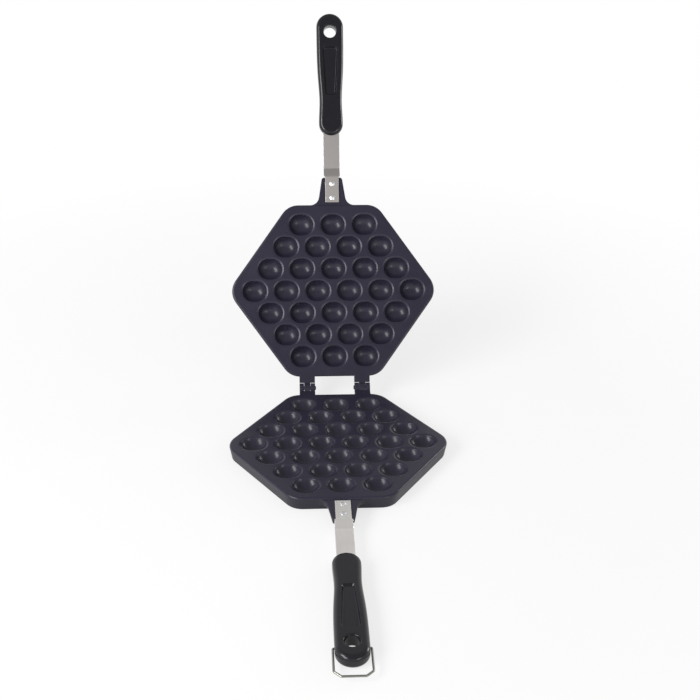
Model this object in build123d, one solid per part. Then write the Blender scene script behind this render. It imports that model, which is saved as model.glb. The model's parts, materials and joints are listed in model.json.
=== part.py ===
from build123d import *
from math import asin, atan2, cos, degrees, radians, sin, sqrt, tan
import os

# Egg waffle pan: two hexagonal cast plates with egg cells, hinged at the back, each with a
# bakelite grip on a riveted steel strap, and a wire bail that swings on the lower grip.
#
# Millimetres and degrees. X runs along the hinge pins, +Y from the handles to the hinges and
# +Z up. The origin lies on the surface that the pan stands on, under the middle of the lower
# plate. The pan stands open, with its lid leaning back on the hinge stops.
#
# Each half is modelled lying flat with its cooking face up and the parting plane at z = 0,
# its plate centred on the origin. The lower half is then lifted onto its skirt, and the upper
# half is turned over and swung open about the hinge axis.

# Egg cells
column_pitch = 32.1  # between neighbours in a row
row_pitch = 22.4  # between rows, each of which is shifted by half a column
middle_row_cells = 6
row_count = 7
cell_length = 25.0  # of the mouth along X, inside its rim
cell_width = 21.5
cell_depth = 8.4
cell_rim = 1.5  # width of the chamfer around each mouth
cell_rim_depth = 0.6
cell_wall = 1.8  # casting around the cell

# Plate
across_flats = 175.8
corner_radius = 20.0
face_gap = 0.15  # each face below the parting plane, so the closed faces don't touch
web = 3.0
skirt_depth = 13.9
skirt_draft = 9.5
skirt_wall = 2.8  # at its lower edge
hollow_draft = 2.0
face_rounding = 2.0
skirt_rounding = 1.0

# Hinges
hinge_stand_off = 11.2  # from the plate's edge to the hinge axis
hinge_spread = 56.0  # between the middles of the two hinges
hinge_width = 15.7
knuckle_radius = 4.8
tongue_width = 6.1
tongue_gap = 0.3  # on each side of the tongue
pin_radius = 2.0
pin_play = 0.05  # radial, in the tongue
pin_stand_out = 1.0  # the peened end beside the gap between the hinges
pin_chamfer = 0.4
fork_depth = 5.7  # from the axis to the bridge of the fork
shoulder_gap = 0.35  # between the fork's knuckles and the full-width web of the tongue
arm_depth = 8.6  # of the arm where it leaves the plate
arm_root = 3.0  # how far arms and bracket reach into the skirt
open_angle = 119.5
stop_gap = 0.1
stop_top = 1.2  # of the stop's face, below the axis when the lid is open
stop_depth = 6.0  # of its lower edge

# Handle bracket
bracket_length = 27.7
bracket_root_width = 29.4
bracket_tip_width = 20.4
bracket_flare = 9.0
bracket_tip_rounding = 2.8
bracket_top = 2.15  # cheek tops below the parting plane
bracket_bottom = 8.4
bracket_edge = 0.8

# Strap and rivets
strap_thickness = 2.0
strap_top = 1.2  # below the parting plane, in the bracket
strap_width = 13.8  # in the bracket
strap_wide = 16.2  # beyond the bracket
strap_start = 2.4  # from the plate's edge to the strap's inner end
strap_shoulder = 0.9  # from the bracket's tips to the wider stretch
strap_shoulder_rounding = 0.9
joggle_start = 1.3  # from the bracket's tips to the first bend
joggle_run = 8.0
joggle_drop = 3.9
joggle_radius = 4.0
channel_play = 0.1  # on each side of the strap
rivet_places = (7.1, 21.4)  # from the plate's edge
rivet_radius = 1.6
rivet_head_radius = 2.75
rivet_head_height = 0.9

# Grip
grip_start = 71.2  # from the plate's edge to the grip's nose
grip_length = 124.9
grip_top = 1.6  # below the parting plane
grip_thickness = 12.3
grip_nose_radius = 12.2
grip_waist_from_nose = 35.0
grip_waist = 22.8
grip_palm_from_nose = 57.0
grip_palm = 25.1
grip_end_width = 27.4
grip_edge = 4.4  # rounding of the long edges
tang_length = 39.0  # of strap inside the grip
tang_play = 0.1
recess_from_nose = 41.0
recess_length = 49.6
recess_inner_width = 11.0
recess_outer_width = 16.4
recess_corner = 3.2
recess_depth = 1.8
recess_draft = 40.0
hang_hole_radius = 6.3
hang_hole_from_end = 18.9
hang_hole_rounding = 1.3

# Grip screw, from below into the tapped tang
screw_from_nose = 22.5
screw_radius = 2.0
screw_head_radius = 3.8
screw_play = 0.15
screw_slot_width = 1.0
screw_slot_depth = 0.9

# Bail
wire_radius = 0.95
wire_play = 0.08  # radial, in the grip
bail_pivot_from_end = 17.7
bail_pivot_depth = 8.75  # below the parting plane
bail_reach = 29.0  # from the pivot to the crossbar
bail_side_gap = 0.3  # between legs and grip
bail_seat = 4.2  # length of wire inside each side of the grip
bail_crossbar = 19.0
bail_corner = 5.0  # length of leg taken by each slanted corner
bail_bend = 2.2

through = 80.0  # length of a cutter that passes right through a piece
match = 0.01  # when edges and corners are picked by their place or size

plate_edge = across_flats / 2
hinge_reach = plate_edge + hinge_stand_off
cell_stretch = cell_length - cell_width  # between the two ball ends of a cell
cell_radius = ((cell_width / 2) ** 2 + cell_depth**2) / (2 * cell_depth)  # of its ball ends
face_level = -face_gap
web_level = face_level - web
cell_middle = face_level - cell_depth + cell_radius  # level of the balls' centres
stand_height = face_gap + skirt_depth
grip_nose = plate_edge + grip_start
grip_end = grip_nose + grip_length
strap_bottom = strap_top + strap_thickness
tang_top = strap_top + joggle_drop
tang_bottom = tang_top + strap_thickness
grip_bottom = grip_top + grip_thickness
bail_pivot = grip_end - bail_pivot_from_end

lower_place = Pos(0, 0, stand_height)
hinge_place = Pos(0, hinge_reach, stand_height)
upper_place = hinge_place * Rot(-open_angle, 0, 0) * Pos(0, -hinge_reach, 0) * Rot(0, 180, 0)


def cell_centres():
    """Middles of the egg cells: each row has one cell fewer for every step from the middle row."""
    centres = []
    for row in range(row_count):
        steps = row - (row_count - 1) // 2
        cells = middle_row_cells - abs(steps)
        for column in range(cells):
            centres.append(((column - (cells - 1) / 2) * column_pitch, steps * row_pitch))
    return centres


def hexagon(half_flats):
    """Hexagon whose slanted edges run along the slanted rows of cells."""
    slant = atan2(row_pitch, column_pitch / 2)
    side_tip = half_flats / sin(slant)
    flat_end = half_flats * (1 - cos(slant)) / sin(slant)
    outline = Polygon(
        (side_tip, 0),
        (flat_end, half_flats),
        (-flat_end, half_flats),
        (-side_tip, 0),
        (-flat_end, -half_flats),
        (flat_end, -half_flats),
        align=None,
    )
    return fillet(outline.vertices(), corner_radius - (plate_edge - half_flats))


def rounded_trough(radius):
    """Lower half of a bar along X with ball ends, its flat side at z = 0."""
    outline = SlotOverall(cell_stretch + 2 * radius, 2 * radius)
    half = split(outline, Plane.XZ, keep=Keep.TOP)
    return revolve(half, Axis.X, 180)


def cell_cutter():
    """Rounded cell, as deep as a part of a ball-ended bar, with its chamfered rim."""
    rim_level = face_level - cell_rim_depth
    rim_foot = sqrt(cell_radius**2 - (cell_middle - rim_level) ** 2)
    mouth_outline = SlotOverall(cell_length + 2 * cell_rim, cell_width + 2 * cell_rim)
    foot_outline = SlotOverall(cell_stretch + 2 * rim_foot, 2 * rim_foot)
    rim = loft([Pos(0, 0, face_level) * mouth_outline, Pos(0, 0, rim_level) * foot_outline], ruled=True)
    return rim + Pos(0, 0, cell_middle) * rounded_trough(cell_radius)


def plate():
    """Cast plate with its skirt, the hollow under its web, the cell backs and the cells."""
    body = Pos(0, 0, face_level) * extrude(hexagon(plate_edge), -skirt_depth, taper=skirt_draft)
    body = fillet(body.faces().sort_by(Axis.Z)[-1].edges(), face_rounding)
    body = fillet(body.faces().sort_by(Axis.Z)[0].edges(), skirt_rounding)
    hollow_depth = skirt_depth - web
    lower_edge = plate_edge - skirt_depth * tan(radians(skirt_draft)) - skirt_wall
    hollow_edge = lower_edge - hollow_depth * tan(radians(hollow_draft))
    hollow = Pos(0, 0, web_level) * extrude(hexagon(hollow_edge), -hollow_depth, taper=-hollow_draft)
    body -= hollow
    back = Pos(0, 0, cell_middle) * rounded_trough(cell_radius + cell_wall)
    back = split(back, Plane.XY.offset(web_level), keep=Keep.BOTTOM)
    cutter = cell_cutter()
    body = body.fuse(*[Pos(x, y, 0) * back for x, y in cell_centres()])
    body = body.cut(*[Pos(x, y, 0) * cutter for x, y in cell_centres()])
    return body


def beside_hinge(outline, width):
    """Solid of a YZ outline, as wide along X as given, with the hinge axis at its origin."""
    return extrude(Plane.YZ * outline, width / 2, both=True)


def arm_outline():
    """Side of a hinge arm: a knuckle round the axis and a web that deepens towards the plate."""
    root = plate_edge - arm_root - hinge_reach
    arm = Polygon((root, face_level), (root, -arm_depth), (0, -knuckle_radius), (0, face_level), align=None)
    return Circle(knuckle_radius) + arm


def hinge_fork():
    """Two cheeks on a bridge, bored for the pressed-in pin, with a slot for the tongue."""
    slot = Rectangle(through, through, align=(Align.MIN, Align.CENTER))
    slot = Pos(-fork_depth, 0) * slot
    fork = beside_hinge(arm_outline(), hinge_width)
    fork -= beside_hinge(slot, tongue_width + 2 * tongue_gap)
    return fork - beside_hinge(Circle(pin_radius), hinge_width)


def stop_outline():
    """Tail of the tongue, drawn where it meets the bridge of the fork with the lid open."""
    meets = stop_gap - fork_depth
    stop_face = Line((meets, -stop_top), (meets, -stop_depth))
    return make_hull(Circle(knuckle_radius).edges() + stop_face.edges())


def hinge_tongue():
    """Web that narrows to a tongue with a running bore for the pin, and the tongue's stop."""
    shoulder = Rectangle(through, through, align=(Align.MAX, Align.CENTER))
    web_outline = arm_outline() & (Pos(-knuckle_radius - shoulder_gap, 0) * shoulder)
    stop = mirror(Rot(0, 0, open_angle) * stop_outline(), about=Plane.XZ)
    tongue = beside_hinge(web_outline, hinge_width)
    tongue += beside_hinge(arm_outline() + stop, tongue_width)
    return tongue - beside_hinge(Circle(pin_radius + pin_play), tongue_width)


def hinge_pin():
    """Pin along X that stands out of the fork at its +X end."""
    length = hinge_width + pin_stand_out
    pin = chamfer(Cylinder(pin_radius, length).edges().filter_by(GeomType.CIRCLE), pin_chamfer)
    return Rot(0, 90, 0) * Pos(0, 0, pin_stand_out / 2) * pin


def bracket():
    """Drafted lug on the front of the skirt, flared at its root, with the strap's channel."""
    wall = -plate_edge + (bracket_top - face_gap) * tan(radians(skirt_draft))
    tip = -plate_edge - bracket_length
    root_half = bracket_root_width / 2
    tip_half = bracket_tip_width / 2
    tab = Polygon((-root_half, wall), (-tip_half, tip), (tip_half, tip), (root_half, wall), align=None)
    strip_width = bracket_root_width + 2 * (bracket_flare + bracket_edge)
    strip = Pos(0, wall) * Rectangle(strip_width, arm_root, align=(Align.CENTER, Align.MIN))
    plan = tab + strip
    corners = plan.vertices().filter_by(lambda corner: abs(corner.X) < root_half + match)
    plan = fillet(corners.filter_by(lambda corner: corner.Y > tip + match), bracket_flare)
    plan = fillet(plan.vertices().filter_by(lambda corner: corner.Y < tip + match), bracket_tip_rounding)
    lug = Pos(0, 0, -bracket_top) * extrude(plan, bracket_top - bracket_bottom, taper=skirt_draft)
    lower_edges = lug.faces().sort_by(Axis.Z)[0].edges()
    lug = fillet(lower_edges.filter_by(lambda edge: (edge @ 0.5).Y < wall - bracket_edge), bracket_edge)
    channel_end = -plate_edge - strap_start + channel_play
    channel = Box(
        strap_width + 2 * channel_play,
        bracket_length,
        strap_bottom,
        align=(Align.CENTER, Align.MAX, Align.MIN),
    )
    lug -= Pos(0, channel_end, -strap_bottom) * channel
    bores = [Pos(0, -plate_edge - place, -strap_bottom) * rivet_bore() for place in rivet_places]
    return lug - bores[0] - bores[1]


def rivet_bore():
    """Cutter for a rivet's shank, through strap and bracket, centred on the strap's underside."""
    return Cylinder(rivet_radius, through)


def strap():
    """Flat strip: narrow in the bracket, joggled outwards beyond it, then the grip's tang."""
    inner_end = plate_edge + strap_start
    shoulder = plate_edge + bracket_length + strap_shoulder
    tang_end = grip_nose + tang_length
    middle = strap_top + strap_thickness / 2
    bend = plate_edge + bracket_length + joggle_start
    path = FilletPolyline(
        (-inner_end, -middle),
        (-bend, -middle),
        (-bend - joggle_run, -middle - joggle_drop),
        (-tang_end, -middle - joggle_drop),
        radius=joggle_radius,
    )
    side = Plane.YZ * trace(path, line_width=strap_thickness)
    narrow = Pos(0, -inner_end) * Rectangle(strap_width, tang_length, align=(Align.CENTER, Align.MAX))
    wide_length = tang_end - shoulder
    wide = Pos(0, -shoulder) * Rectangle(strap_wide, wide_length, align=(Align.CENTER, Align.MAX))
    plan = fillet(wide.vertices(), strap_shoulder_rounding) + narrow
    strip = extrude(side, strap_wide, both=True) & extrude(plan, through, both=True)
    for place in rivet_places:
        strip -= Pos(0, -plate_edge - place, 0) * rivet_bore()
    return strip - Pos(0, -grip_nose - screw_from_nose, 0) * Cylinder(screw_radius, through)


def domed_head(radius, height):
    """Spherical cap standing on z = 0."""
    ball_radius = (radius**2 + height**2) / (2 * height)
    return split(Pos(0, 0, height - ball_radius) * Sphere(ball_radius), Plane.XY, keep=Keep.TOP)


def rivet():
    """Rivet with a domed head on the strap and one under the bracket, on the Z axis."""
    shank_length = bracket_bottom - strap_top
    shank = Pos(0, 0, -strap_top) * Cylinder(
        rivet_radius, shank_length, align=(Align.CENTER, Align.CENTER, Align.MAX)
    )
    head = domed_head(rivet_head_radius, rivet_head_height)
    return shank + Pos(0, 0, -strap_top) * head + Pos(0, 0, -bracket_bottom) * Rot(180, 0, 0) * head


def grip_outline():
    """Plan of the grip, its nose at the origin and its end towards -Y."""
    end_radius = grip_end_width / 2
    nose_middle = -grip_nose_radius
    end_middle = end_radius - grip_length
    side = Spline(
        (grip_nose_radius, nose_middle),
        (grip_waist / 2, -grip_waist_from_nose),
        (grip_palm / 2, -grip_palm_from_nose),
        (end_radius, end_middle),
        tangents=((0, -1), (0, -1)),
    )
    nose = RadiusArc((grip_nose_radius, nose_middle), (-grip_nose_radius, nose_middle), -grip_nose_radius)
    end = RadiusArc((end_radius, end_middle), (-end_radius, end_middle), end_radius)
    return make_face([side, nose, mirror(side, about=Plane.YZ), end])


def recess_outline(shrink):
    """Plan of the thumb recess, which widens towards the grip's end, smaller all round by shrink."""
    outer_end = shrink - recess_from_nose - recess_length
    inner_end = -shrink - recess_from_nose
    outer_half = recess_outer_width / 2 - shrink
    inner_half = recess_inner_width / 2 - shrink
    outline = Polygon(
        (-outer_half, outer_end),
        (outer_half, outer_end),
        (inner_half, inner_end),
        (-inner_half, inner_end),
        align=None,
    )
    return fillet(outline.vertices(), recess_corner - shrink)


def recess_cutter():
    """Thumb recess with sloping sides and a rounded floor, its mouth at z = 0."""
    floor = Pos(0, 0, -recess_depth) * recess_outline(recess_depth * tan(radians(recess_draft)))
    cutter = loft([recess_outline(0), floor], ruled=True)
    return fillet(cutter.faces().sort_by(Axis.Z)[0].edges(), recess_depth / 2)


def grip(for_bail):
    """Moulded grip with rounded edges, thumb recess, hang hole and the tang's and screw's seats."""
    body = extrude(grip_outline(), -grip_thickness)
    ends = body.faces().filter_by(Plane.XY)
    body = fillet(ends.edges(), grip_edge)
    body -= recess_cutter()
    hole_middle = hang_hole_from_end - grip_length
    body -= Pos(0, hole_middle, -grip_thickness / 2) * Cylinder(hang_hole_radius, grip_thickness)
    rims = body.edges().filter_by(GeomType.CIRCLE)
    rims = rims.filter_by(lambda rim: abs(rim.radius - hang_hole_radius) < match)
    body = fillet(rims, hang_hole_rounding)
    body = Pos(0, -grip_nose, -grip_top) * body
    socket = Box(
        strap_wide + 2 * tang_play,
        tang_length + tang_play,
        strap_thickness + 2 * tang_play,
        align=(Align.CENTER, Align.MAX, Align.MAX),
    )
    body -= Pos(0, -grip_nose, tang_play - tang_top) * socket
    body -= Pos(0, -grip_nose - screw_from_nose, 0) * screw_body(screw_play)
    if for_bail:
        length = grip_end_width - 2 * bail_seat
        holes = Rot(0, 90, 0) * Cylinder(wire_radius + wire_play, through)
        holes -= Rot(0, 90, 0) * Cylinder(grip_end_width, length - 2 * wire_play)
        body -= Pos(0, -bail_pivot, -bail_pivot_depth) * holes
    return body


def screw_body(play):
    """Countersunk screw from the grip's outer face up into the tang, larger all round by play."""
    height = grip_bottom - tang_top
    head_height = screw_head_radius - screw_radius
    base = (Align.CENTER, Align.CENTER, Align.MIN)
    shank = Cylinder(screw_radius + play, height, align=base)
    head = Cone(screw_head_radius + play, screw_radius + play, head_height, align=base)
    return Pos(0, 0, -grip_bottom) * (shank + head)


def screw():
    """Grip screw with a slotted head."""
    slot = Pos(0, 0, -grip_bottom) * Box(through, screw_slot_width, 2 * screw_slot_depth)
    return Pos(0, -grip_nose - screw_from_nose, 0) * (screw_body(0) - slot)


def bail():
    """Wire loop whose turned-in ends sit in the sides of the lower grip."""
    leg = grip_end_width / 2 + bail_side_gap + wire_radius
    inner_end = grip_end_width / 2 - bail_seat
    half_bar = bail_crossbar / 2
    corner = bail_pivot + bail_reach - bail_corner
    bar = bail_pivot + bail_reach
    turn_in = bail_side_gap + wire_radius
    path = FilletPolyline(
        (-inner_end, -bail_pivot),
        (-leg, -bail_pivot),
        (-leg, -corner),
        (-half_bar, -bar),
        (half_bar, -bar),
        (leg, -corner),
        (leg, -bail_pivot),
        (inner_end, -bail_pivot),
        radius=(turn_in, bail_bend, bail_bend, bail_bend, bail_bend, turn_in),
    )
    section = Plane(origin=path @ 0, z_dir=path % 0) * Circle(wire_radius)
    return Pos(0, 0, -bail_pivot_depth) * sweep(section, path=path)


def with_hinges(casting, hinge):
    """Plate casting with its handle bracket and the given hinge half at both hinges."""
    halves = [Pos(side * hinge_spread / 2, hinge_reach, 0) * hinge for side in (-1, 1)]
    return casting + halves[0] + halves[1] + bracket()


casting = plate()
fork_pin = hinge_pin()
left_hinge = Pos(-hinge_spread / 2, hinge_reach, 0)
right_hinge = Pos(hinge_spread / 2, hinge_reach, 0)
handle_strap = strap()
handle_rivet = rivet()
grip_screw = screw()
inner_rivet, outer_rivet = [Pos(0, -plate_edge - place, 0) * handle_rivet for place in rivet_places]

lower_half = {
    "lower_plate": with_hinges(casting, hinge_fork()),
    "left_hinge_pin": left_hinge * fork_pin,
    "right_hinge_pin": right_hinge * Rot(0, 180, 0) * fork_pin,
    "lower_strap": handle_strap,
    "lower_inner_rivet": inner_rivet,
    "lower_outer_rivet": outer_rivet,
    "lower_grip": grip(for_bail=True),
    "lower_grip_screw": grip_screw,
    "bail": bail(),
}
upper_half = {
    "upper_plate": with_hinges(casting, hinge_tongue()),
    "upper_strap": handle_strap,
    "upper_inner_rivet": inner_rivet,
    "upper_outer_rivet": outer_rivet,
    "upper_grip": grip(for_bail=False),
    "upper_grip_screw": grip_screw,
}

os.makedirs("parts", exist_ok=True)
for name, piece in lower_half.items():
    export_step(lower_place * piece, f"parts/{name}.step")
for name, piece in upper_half.items():
    export_step(upper_place * piece, f"parts/{name}.step")
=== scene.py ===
import json
from math import cos, pi, radians, sin

import bpy
from mathutils import Matrix, Vector


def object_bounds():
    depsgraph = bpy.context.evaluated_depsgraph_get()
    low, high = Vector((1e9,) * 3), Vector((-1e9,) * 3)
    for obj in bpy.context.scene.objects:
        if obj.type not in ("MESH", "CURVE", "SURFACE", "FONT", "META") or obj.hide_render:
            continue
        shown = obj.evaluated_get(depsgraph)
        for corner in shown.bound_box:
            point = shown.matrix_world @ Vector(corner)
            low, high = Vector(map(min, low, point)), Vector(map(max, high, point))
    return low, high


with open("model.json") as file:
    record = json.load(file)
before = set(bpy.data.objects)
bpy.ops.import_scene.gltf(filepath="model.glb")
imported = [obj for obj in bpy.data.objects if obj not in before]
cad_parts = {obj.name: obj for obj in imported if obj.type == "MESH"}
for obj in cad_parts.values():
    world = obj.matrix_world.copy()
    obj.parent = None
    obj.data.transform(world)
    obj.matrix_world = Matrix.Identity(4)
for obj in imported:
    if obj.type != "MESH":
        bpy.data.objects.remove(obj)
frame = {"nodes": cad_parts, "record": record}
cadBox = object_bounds()
nodes = frame["nodes"]
mounts = {mount["name"]: mount for mount in frame["record"]["mounts"]}
millimetre = 0.001
lowerUp = -Vector(mounts["lower_hang_hole"]["axis"])  # out of each half's cooking face
upperUp = -Vector(mounts["upper_hang_hole"]["axis"])
print("frame loaded:", len(nodes), "pieces")

# camera

cameraView = {
    "place": (-0.0411, -0.9400, 0.6479),  # metres
    "azimuth": -3.095,  # degrees, towards +Y at 0
    "elevation": 29.55,  # degrees down
    "roll": 0.744,
    "focalPixels": 1192.0,
    "imagePixels": 700.0,
    "sensorWidth": 36.0,  # mm
    "sight": 50.0,  # metres, how far the camera sees
}


def outward(azimuth, elevation):
    turn, lift = radians(azimuth), radians(elevation)  # from the object towards a lamp or camera
    return Vector((sin(turn) * cos(lift), -cos(turn) * cos(lift), sin(lift)))


def addCamera(view):
    back = outward(view["azimuth"], view["elevation"])
    levelRight = Vector((cos(radians(view["azimuth"])), sin(radians(view["azimuth"])), 0.0))
    levelUp = back.cross(levelRight)
    roll = radians(view["roll"])
    right = levelRight * cos(roll) + levelUp * sin(roll)
    up = levelUp * cos(roll) - levelRight * sin(roll)
    data = bpy.data.cameras.new("camera")
    data.sensor_width = view["sensorWidth"]
    data.lens = view["focalPixels"] / view["imagePixels"] * view["sensorWidth"]
    data.clip_end = view["sight"]
    camera = bpy.data.objects.new("camera", data)
    axes = Matrix((right, up, back)).transposed()
    camera.matrix_world = Matrix.Translation(view["place"]) @ axes.to_4x4()
    bpy.context.scene.collection.objects.link(camera)
    bpy.context.scene.camera = camera


addCamera(cameraView)
print("camera placed")

# material helpers


def linear(hexColour):
    channels = [int(hexColour[i:i + 2], 16) / 255 for i in (1, 3, 5)]
    bent = [c / 12.92 if c <= 0.04045 else ((c + 0.055) / 1.055) ** 2.4 for c in channels]
    return (*bent, 1.0)


def addNode(tree, kind, settings=None, links=None):
    node = tree.nodes.new(kind)
    for key, value in (settings or {}).items():
        if isinstance(key, str) and hasattr(node, key):
            setattr(node, key, value)
        else:
            node.inputs[key].default_value = value
    for key, (source, output) in (links or {}).items():
        tree.links.new(source.outputs[output], node.inputs[key])
    return node


def startMaterial(name, settings):
    material = bpy.data.materials.new(name)
    material.use_nodes = True
    tree = material.node_tree
    tree.nodes.clear()
    shader = addNode(tree, "ShaderNodeBsdfPrincipled", settings)
    addNode(tree, "ShaderNodeOutputMaterial", links={"Surface": (shader, "BSDF")})
    return material, tree, shader


def fineness(size):
    return 1.0 / (size * millimetre)  # noise scale for features that many mm across


def dress(material, *names):
    for name in names:
        mesh = nodes[name].data
        mesh.materials.clear()
        mesh.materials.append(material)


# cast plates

coatLook = {
    "colour": "#252331",
    "thickColour": "#2e2c3a",  # where more coat settled
    "wornAndLitRimColour": "#4a4852",  # edges, where the coat is thin over the aluminium, and a painted highlight along the cells' rims
    "backColour": "#09080b",  # under the web and on the cell backs, a guess, as is its roughness
    "backFacing": (0.05, -0.45),  # cosine to the cooking face, where the back starts and is full
    "wornAndLitRimShare": 0.35,
    "wornAndLitRimBend": (0.995, 0.85),  # cosine of the edge's bend, where the wear and painted rim highlight start and are full
    "roughness": (0.25, 0.33),
    "backRoughness": 0.58,
    "ior": 1.38,  # PTFE
    "cloudSize": 30.0,  # mm, slow drift of the colour
    "peelSize": 1.2,  # mm, orange peel of the sprayed coat
    "peelDepth": 0.010,  # mm
    "sandSize": 0.9,  # mm, grain of the mould, drawn about twice as coarse so that it shows
    "sandDepth": 0.030,  # mm, outside
    "faceSand": 0.15,  # share of it on the cooking face
    "edgeReach": 1.0,  # mm, how far the casting's rounded edges reach
}


def sprayedNonStickCoat(name, faceUp, look):
    # PTFE coat sprayed and baked on die-cast aluminium: dark, softly shining and faintly pebbled on
    # the cooking face, duller and sandier on the back
    material, tree, shader = startMaterial(name, {"IOR": look["ior"]})
    place = addNode(tree, "ShaderNodeTexCoord")
    geometry = addNode(tree, "ShaderNodeNewGeometry")
    facing = addNode(
        tree,
        "ShaderNodeVectorMath",
        {"operation": "DOT_PRODUCT", 1: faceUp},
        {0: (place, "Normal")},
    )
    backMask = addNode(
        tree,
        "ShaderNodeMapRange",
        {"From Min": look["backFacing"][0], "From Max": look["backFacing"][1]},
        {"Value": (facing, "Value")},
    )
    cloud = addNode(
        tree,
        "ShaderNodeTexNoise",
        {"Scale": fineness(look["cloudSize"]), "Detail": 4.0, "Roughness": 0.6},
        {"Vector": (place, "Object")},
    )
    peel = addNode(
        tree,
        "ShaderNodeTexNoise",
        {"Scale": fineness(look["peelSize"]), "Detail": 2.0, "Roughness": 0.5},
        {"Vector": (place, "Object")},
    )
    sand = addNode(
        tree,
        "ShaderNodeTexNoise",
        {"Scale": fineness(look["sandSize"]), "Detail": 5.0, "Roughness": 0.65},
        {"Vector": (place, "Object")},
    )
    coatColour = addNode(
        tree,
        "ShaderNodeMix",
        {"data_type": "RGBA", 6: linear(look["colour"]), 7: linear(look["thickColour"])},
        {0: (cloud, "Fac")},
    )
    bothColours = addNode(
        tree,
        "ShaderNodeMix",
        {"data_type": "RGBA", 7: linear(look["backColour"])},
        {0: (backMask, "Result"), 6: (coatColour, 2)},
    )
    rounded = addNode(
        tree, "ShaderNodeBevel", {"samples": 6, "Radius": look["edgeReach"] * millimetre}
    )
    # edge wear and painted highlight: every edge, the cells' rims among them, is turned lighter
    bend = addNode(
        tree,
        "ShaderNodeVectorMath",
        {"operation": "DOT_PRODUCT"},
        {0: (rounded, "Normal"), 1: (geometry, "Normal")},
    )
    edge = addNode(
        tree,
        "ShaderNodeMapRange",
        {
            "From Min": look["wornAndLitRimBend"][0],
            "From Max": look["wornAndLitRimBend"][1],
            "To Max": look["wornAndLitRimShare"],
        },
        {"Value": (bend, "Value")},
    )
    colour = addNode(
        tree,
        "ShaderNodeMix",
        {"data_type": "RGBA", 7: linear(look["wornAndLitRimColour"])},
        {0: (edge, "Result"), 6: (bothColours, 2)},
    )
    faceRoughness = addNode(
        tree,
        "ShaderNodeMapRange",
        {
            "From Min": 0.3,
            "From Max": 0.7,
            "To Min": look["roughness"][0],
            "To Max": look["roughness"][1],
        },
        {"Value": (cloud, "Fac")},
    )
    roughness = addNode(
        tree,
        "ShaderNodeMix",
        {3: look["backRoughness"]},
        {0: (backMask, "Result"), 2: (faceRoughness, "Result")},
    )
    sandStrength = addNode(
        tree,
        "ShaderNodeMapRange",
        {"To Min": look["faceSand"], "To Max": 1.0},
        {"Value": (backMask, "Result")},
    )
    sandBump = addNode(
        tree,
        "ShaderNodeBump",
        {"Distance": look["sandDepth"] * millimetre},
        {
            "Height": (sand, "Fac"),
            "Strength": (sandStrength, "Result"),
            "Normal": (rounded, "Normal"),
        },
    )
    peelBump = addNode(
        tree,
        "ShaderNodeBump",
        {"Distance": look["peelDepth"] * millimetre},
        {"Height": (peel, "Fac"), "Normal": (sandBump, "Normal")},
    )
    tree.links.new(colour.outputs[2], shader.inputs["Base Color"])
    tree.links.new(roughness.outputs[0], shader.inputs["Roughness"])
    tree.links.new(peelBump.outputs["Normal"], shader.inputs["Normal"])
    return material


dress(sprayedNonStickCoat("sprayedNonStickCoatLower", lowerUp, coatLook), "lower_plate")
dress(sprayedNonStickCoat("sprayedNonStickCoatUpper", upperUp, coatLook), "upper_plate")
print("plates coated")

# grips

gripLook = {
    "colour": "#151419",
    "paleColour": "#1e1d23",
    "roughness": (0.14, 0.24),
    "ior": 1.52,
    "gloss": 0.32,  # specular level, set under 0.5 to keep the room's reflection faint
    "smudgeSize": 14.0,  # mm, handling marks
    "flowSize": 9.0,  # mm, waviness left by the press
    "flowDepth": 0.018,  # mm
    "poreSize": 0.7,  # mm
    "poreDepth": 0.0012,  # mm
    "seamWidth": 0.5,  # mm, drawn about twice as wide so that it shows
    "seamDepth": 0.05,  # mm
    "lip": 0.4,  # mm, roundness of the recess's lip
}


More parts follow.
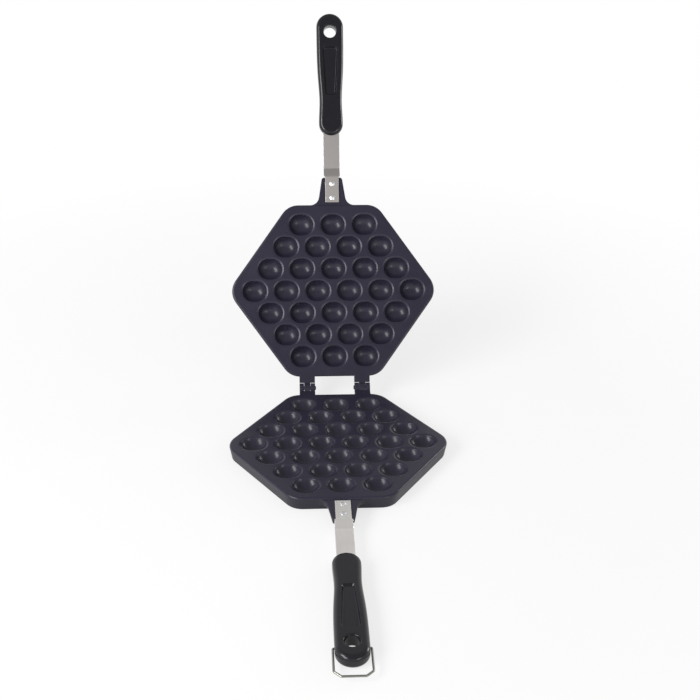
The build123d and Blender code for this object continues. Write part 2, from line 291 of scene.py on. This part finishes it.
def pressedPhenolic(name, mount, look):
    # black phenolic resin pressed hot in a polished steel mould: deep gloss, slight waviness, and a
    # fine seam where the two halves of the mould met
    settings = {"IOR": look["ior"], "Specular IOR Level": look["gloss"]}
    material, tree, shader = startMaterial(name, settings)
    place = addNode(tree, "ShaderNodeTexCoord")
    smudge = addNode(
        tree,
        "ShaderNodeTexNoise",
        {"Scale": fineness(look["smudgeSize"]), "Detail": 5.0, "Roughness": 0.7},
        {"Vector": (place, "Object")},
    )
    flow = addNode(
        tree,
        "ShaderNodeTexNoise",
        {"Scale": fineness(look["flowSize"]), "Detail": 1.0},
        {"Vector": (place, "Object")},
    )
    pores = addNode(
        tree,
        "ShaderNodeTexNoise",
        {"Scale": fineness(look["poreSize"]), "Detail": 2.0},
        {"Vector": (place, "Object")},
    )
    fromSeam = addNode(
        tree,
        "ShaderNodeVectorMath",
        {"operation": "SUBTRACT", 1: Vector(mount["pos_m"])},
        {0: (place, "Object")},
    )
    height = addNode(
        tree,
        "ShaderNodeVectorMath",
        {"operation": "DOT_PRODUCT", 1: Vector(mount["axis"])},
        {0: (fromSeam, "Vector")},
    )
    offSeam = addNode(tree, "ShaderNodeMath", {"operation": "ABSOLUTE"}, {0: (height, "Value")})
    seam = addNode(
        tree,
        "ShaderNodeMapRange",
        {"From Max": look["seamWidth"] * millimetre / 2, "To Min": 1.0, "To Max": 0.0},
        {"Value": (offSeam, "Value")},
    )
    colour = addNode(
        tree,
        "ShaderNodeMix",
        {"data_type": "RGBA", 6: linear(look["colour"]), 7: linear(look["paleColour"])},
        {0: (smudge, "Fac")},
    )
    roughness = addNode(
        tree,
        "ShaderNodeMapRange",
        {
            "From Min": 0.35,
            "From Max": 0.65,
            "To Min": look["roughness"][0],
            "To Max": look["roughness"][1],
        },
        {"Value": (smudge, "Fac")},
    )
    softened = addNode(tree, "ShaderNodeBevel", {"samples": 8, "Radius": look["lip"] * millimetre})
    seamBump = addNode(
        tree,
        "ShaderNodeBump",
        {"Distance": look["seamDepth"] * millimetre},
        {"Height": (seam, "Result"), "Normal": (softened, "Normal")},
    )
    flowBump = addNode(
        tree,
        "ShaderNodeBump",
        {"Distance": look["flowDepth"] * millimetre},
        {"Height": (flow, "Fac"), "Normal": (seamBump, "Normal")},
    )
    poreBump = addNode(
        tree,
        "ShaderNodeBump",
        {"Distance": look["poreDepth"] * millimetre},
        {"Height": (pores, "Fac"), "Normal": (flowBump, "Normal")},
    )
    tree.links.new(colour.outputs[2], shader.inputs["Base Color"])
    tree.links.new(roughness.outputs["Result"], shader.inputs["Roughness"])
    tree.links.new(poreBump.outputs["Normal"], shader.inputs["Normal"])
    return material


dress(pressedPhenolic("pressedPhenolicLower", mounts["lower_hang_hole"], gripLook), "lower_grip")
dress(pressedPhenolic("pressedPhenolicUpper", mounts["upper_hang_hole"], gripLook), "upper_grip")
print("grips finished")

# bare metals

# painted light: the lower strap's colour is set far lighter than steel to stand in for the light it
# catches from behind and above
strapPaintedLightLook = {
    "colour": "#f6f3f0",
    "dullColour": "#e9e6e2",
    "roughness": (0.40, 0.50),
    "lineSize": (0.5, 70.0, 70.0),  # mm across and along, drawn twice as wide so that the lines show
    "lineDepth": 0.004,  # mm
    "stainSize": 22.0,  # mm
    "softness": 0.8,  # mm, roundness of the bends and the strip's edges
}
# same steel with painted shade: set darker because the upper strap faces the lamps and would render
# too light
upperStrapPaintedShadeLook = dict(strapPaintedLightLook, colour="#beb9b6", dullColour="#b0aba8")
rivetLook = {
    "colour": "#f0f0f2",
    "dullColour": "#e0e0e3",
    "roughness": (0.38, 0.48),
    "lineSize": (1.2, 1.2, 1.2),
    "lineDepth": 0.004,
    "stainSize": 3.0,
    "softness": 0.3,
}
wireLook = {
    "colour": "#a5a5a0",
    "dullColour": "#86867f",
    "roughness": (0.22, 0.36),
    "lineSize": (6.0, 6.0, 0.5),
    "lineDepth": 0.002,
    "stainSize": 5.0,
    "softness": 0.1,
}
pinLook = {
    "colour": "#3b3a3d",
    "dullColour": "#2a292c",
    "roughness": (0.35, 0.5),
    "lineSize": (3.0, 0.6, 0.6),
    "lineDepth": 0.003,
    "stainSize": 2.0,
    "softness": 0.2,
}
screwLook = {
    "colour": "#b9bbb6",
    "dullColour": "#9a9c98",
    "roughness": (0.24, 0.36),
    "lineSize": (0.8, 0.8, 0.8),
    "lineDepth": 0.003,
    "stainSize": 3.0,
    "softness": 0.2,
}


def bareMetal(name, look):
    material, tree, shader = startMaterial(name, {"Metallic": 1.0})
    place = addNode(tree, "ShaderNodeTexCoord")
    stretched = addNode(
        tree,
        "ShaderNodeMapping",
        {"Scale": [fineness(size) for size in look["lineSize"]]},
        {"Vector": (place, "Object")},
    )
    lines = addNode(
        tree,
        "ShaderNodeTexNoise",
        {"Scale": 1.0, "Detail": 4.0, "Roughness": 0.7},
        {"Vector": (stretched, "Vector")},
    )
    stains = addNode(
        tree,
        "ShaderNodeTexNoise",
        {"Scale": fineness(look["stainSize"]), "Detail": 3.0},
        {"Vector": (place, "Object")},
    )
    both = addNode(tree, "ShaderNodeMix", {0: 0.5}, {2: (lines, "Fac"), 3: (stains, "Fac")})
    spread = addNode(
        tree, "ShaderNodeMapRange", {"From Min": 0.35, "From Max": 0.65}, {"Value": (both, 0)}
    )
    colour = addNode(
        tree,
        "ShaderNodeMix",
        {"data_type": "RGBA", 6: linear(look["colour"]), 7: linear(look["dullColour"])},
        {0: (spread, "Result")},
    )
    roughness = addNode(
        tree,
        "ShaderNodeMapRange",
        {"To Min": look["roughness"][0], "To Max": look["roughness"][1]},
        {"Value": (spread, "Result")},
    )
    rounded = addNode(
        tree, "ShaderNodeBevel", {"samples": 6, "Radius": look["softness"] * millimetre}
    )
    bump = addNode(
        tree,
        "ShaderNodeBump",
        {"Distance": look["lineDepth"] * millimetre},
        {"Height": (lines, "Fac"), "Normal": (rounded, "Normal")},
    )
    tree.links.new(colour.outputs[2], shader.inputs["Base Color"])
    tree.links.new(roughness.outputs["Result"], shader.inputs["Roughness"])
    tree.links.new(bump.outputs["Normal"], shader.inputs["Normal"])
    return material


# cold-rolled steel strip: grey satin with fine lines along its length
dress(bareMetal("rolledSteelStripLower", strapPaintedLightLook), "lower_strap")
dress(bareMetal("rolledSteelStripUpper", upperStrapPaintedShadeLook), "upper_strap")
# cold-headed rivets, polished by the snap, their colour also set lighter than steel as a painted
# highlight
dress(
    bareMetal("headedSteelRivet", rivetLook),
    *(half + place + "_rivet" for half in ("lower_", "upper_") for place in ("inner", "outer")),
)
# steel wire drawn through a die: grey, with lines along it
dress(bareMetal("drawnSteelWire", wireLook), "bail")
# turned steel pins, blackened in hot oil: near black, with a dull shine
dress(bareMetal("blackenedSteelPin", pinLook), "left_hinge_pin", "right_hinge_pin")
# zinc-plated screws: a cool, bright grey
dress(bareMetal("platedSteelScrew", screwLook), "lower_grip_screw", "upper_grip_screw")
print("metals finished")

# floor, world and lamps

studio = {
    "floorSide": 14.0,  # metres
    "floorDrop": 0.2,  # mm below the skirt, so that the two don't flicker
    "floorColour": "#f4f4f4",
    "ownLight": (0.72, 1.0),  # share of the floor's white that no shadow touches, near and far
    "shadowReach": (0.30, 0.75),  # metres from the middle, where near turns to far
    "frontLight": 0.36,  # world towards the camera
    "backLight": 0.62,  # world behind the object
    "roomTurn": 0.8,  # how far along Y, out of 1, the front light has turned to the back light
    "overheadLight": 0.44,
    "dimAbove": (48.0, 72.0),  # degrees above the horizon, where the room turns to its dim ceiling
    "paperTop": (12.0, 24.0),  # degrees above the horizon where the white backdrop fades out
    "paperRise": 0.30,  # sine of how much taller it stands behind the object
    "keyLamp": {
        "azimuth": -52.0,  # degrees, as the camera's
        "elevation": 24.0,
        "tilt": -35.0,
        "distance": 1.65,  # metres, as the size
        "size": (1.4, 0.6),
        "radiance": 10.5,  # times white
    },
    "fillLamp": {
        "azimuth": 31.0,
        "elevation": 5.0,
        "tilt": 0.0,
        "distance": 1.8,
        "size": (0.7, 0.42),
        "radiance": 4.5,
    },
    "sideLamp": {
        "azimuth": 109.0,
        "elevation": 10.0,
        "tilt": 0.0,
        "distance": 1.6,
        "size": (0.5, 0.6),
        "radiance": 8.0,
    },
}


def whoSeesWhite(tree):
    # the camera, and the metals and gloss that mirror the paper, see it white
    path = addNode(tree, "ShaderNodeLightPath")
    mirrored = addNode(
        tree,
        "ShaderNodeMath",
        {"operation": "MAXIMUM"},
        {0: (path, "Is Glossy Ray"), 1: (path, "Is Transmission Ray")},
    )
    seen = addNode(
        tree,
        "ShaderNodeMath",
        {"operation": "MAXIMUM"},
        {0: (path, "Is Camera Ray"), 1: (mirrored, "Value")},
    )
    return seen, "Value"


def addFloor(look):
    half = look["floorSide"] / 2
    mesh = bpy.data.meshes.new("floor")
    corners = [(x, y, 0.0) for x, y in ((-half, -half), (half, -half), (half, half), (-half, half))]
    mesh.from_pydata(corners, [], [(0, 1, 2, 3)])
    floor = bpy.data.objects.new("floor", mesh)
    floor.location.z = cadBox[0].z - look["floorDrop"] * millimetre
    bpy.context.scene.collection.objects.link(floor)
    # uncoated paper off a roll: evenly matt
    settings = {"Base Color": linear(look["floorColour"]), "Roughness": 0.9}
    material, tree, shader = startMaterial("seamlessPaper", settings)
    place = addNode(tree, "ShaderNodeTexCoord")
    away = addNode(tree, "ShaderNodeVectorMath", {"operation": "LENGTH"}, {0: (place, "Object")})
    ownLight = addNode(
        tree,
        "ShaderNodeMapRange",
        {
            "From Min": look["shadowReach"][0],
            "From Max": look["shadowReach"][1],
            "To Min": look["ownLight"][0],
            "To Max": look["ownLight"][1],
        },
        {"Value": (away, "Value")},
    )
    share = addNode(
        tree,
        "ShaderNodeMath",
        {"operation": "MULTIPLY"},
        {0: whoSeesWhite(tree), 1: (ownLight, "Result")},
    )
    white = addNode(tree, "ShaderNodeEmission", {"Color": (1.0, 1.0, 1.0, 1.0), "Strength": 1.0})
    mixed = addNode(
        tree,
        "ShaderNodeMixShader",
        links={0: (share, "Value"), 1: (shader, "BSDF"), 2: (white, "Emission")},
    )
    output = next(node for node in tree.nodes if node.type == "OUTPUT_MATERIAL")
    tree.links.new(mixed.outputs[0], output.inputs["Surface"])
    mesh.materials.append(material)


def addWorld(look):
    world = bpy.data.worlds.new("studioRoom")
    world.use_nodes = True
    tree = world.node_tree
    tree.nodes.clear()
    place = addNode(tree, "ShaderNodeTexCoord")
    axes = addNode(tree, "ShaderNodeSeparateXYZ", links={"Vector": (place, "Generated")})
    room = addNode(
        tree,
        "ShaderNodeMapRange",
        {
            "From Min": -look["roomTurn"],
            "From Max": look["roomTurn"],
            "To Min": look["frontLight"],
            "To Max": look["backLight"],
        },
        {"Value": (axes, "Y")},
    )
    overhead = addNode(
        tree,
        "ShaderNodeMapRange",
        {
            "interpolation_type": "SMOOTHSTEP",
            "From Min": sin(radians(look["dimAbove"][0])),
            "From Max": sin(radians(look["dimAbove"][1])),
        },
        {"Value": (axes, "Z")},
    )
    dimmed = addNode(
        tree,
        "ShaderNodeMix",
        {3: look["overheadLight"]},
        {0: (overhead, "Result"), 2: (room, "Result")},
    )
    behind = addNode(tree, "ShaderNodeMath", {"operation": "MAXIMUM", 1: 0.0}, {0: (axes, "Y")})
    overPaper = addNode(
        tree,
        "ShaderNodeMath",
        {"operation": "MULTIPLY_ADD", 1: -look["paperRise"]},
        {0: (behind, "Value"), 2: (axes, "Z")},
    )
    backdrop = addNode(
        tree,
        "ShaderNodeMapRange",
        {
            "From Min": sin(radians(look["paperTop"][1])),
            "From Max": sin(radians(look["paperTop"][0])),
        },
        {"Value": (overPaper, "Value")},
    )
    share = addNode(
        tree,
        "ShaderNodeMath",
        {"operation": "MULTIPLY"},
        {0: whoSeesWhite(tree), 1: (backdrop, "Result")},
    )
    strength = addNode(
        tree,
        "ShaderNodeMix",
        {3: 1.0},
        {0: (share, "Value"), 2: (dimmed, 0)},
    )
    background = addNode(
        tree,
        "ShaderNodeBackground",
        {"Color": (1.0, 1.0, 1.0, 1.0)},
        {"Strength": (strength, 0)},
    )
    addNode(tree, "ShaderNodeOutputWorld", links={"Surface": (background, "Background")})
    bpy.context.scene.world = world


def addLamp(name, look):
    aim = (cadBox[0] + cadBox[1]) / 2
    towards = outward(look["azimuth"], look["elevation"])
    width, height = look["size"]
    data = bpy.data.lights.new(name, "AREA")
    data.shape = "RECTANGLE"
    data.size, data.size_y = width, height
    data.energy = look["radiance"] * pi * width * height
    lamp = bpy.data.objects.new(name, data)
    level = towards.to_track_quat("Z", "Y").to_matrix().to_4x4()
    tilted = Matrix.Rotation(radians(look["tilt"]), 4, towards) @ level
    lamp.matrix_world = Matrix.Translation(aim + towards * look["distance"]) @ tilted
    lamp.visible_camera = False
    bpy.context.scene.collection.objects.link(lamp)


addFloor(studio)
addWorld(studio)
for lampName in ("keyLamp", "fillLamp", "sideLamp"):
    addLamp(lampName, studio[lampName])
bpy.context.scene.view_settings.view_transform = "Standard"
print("studio lit")
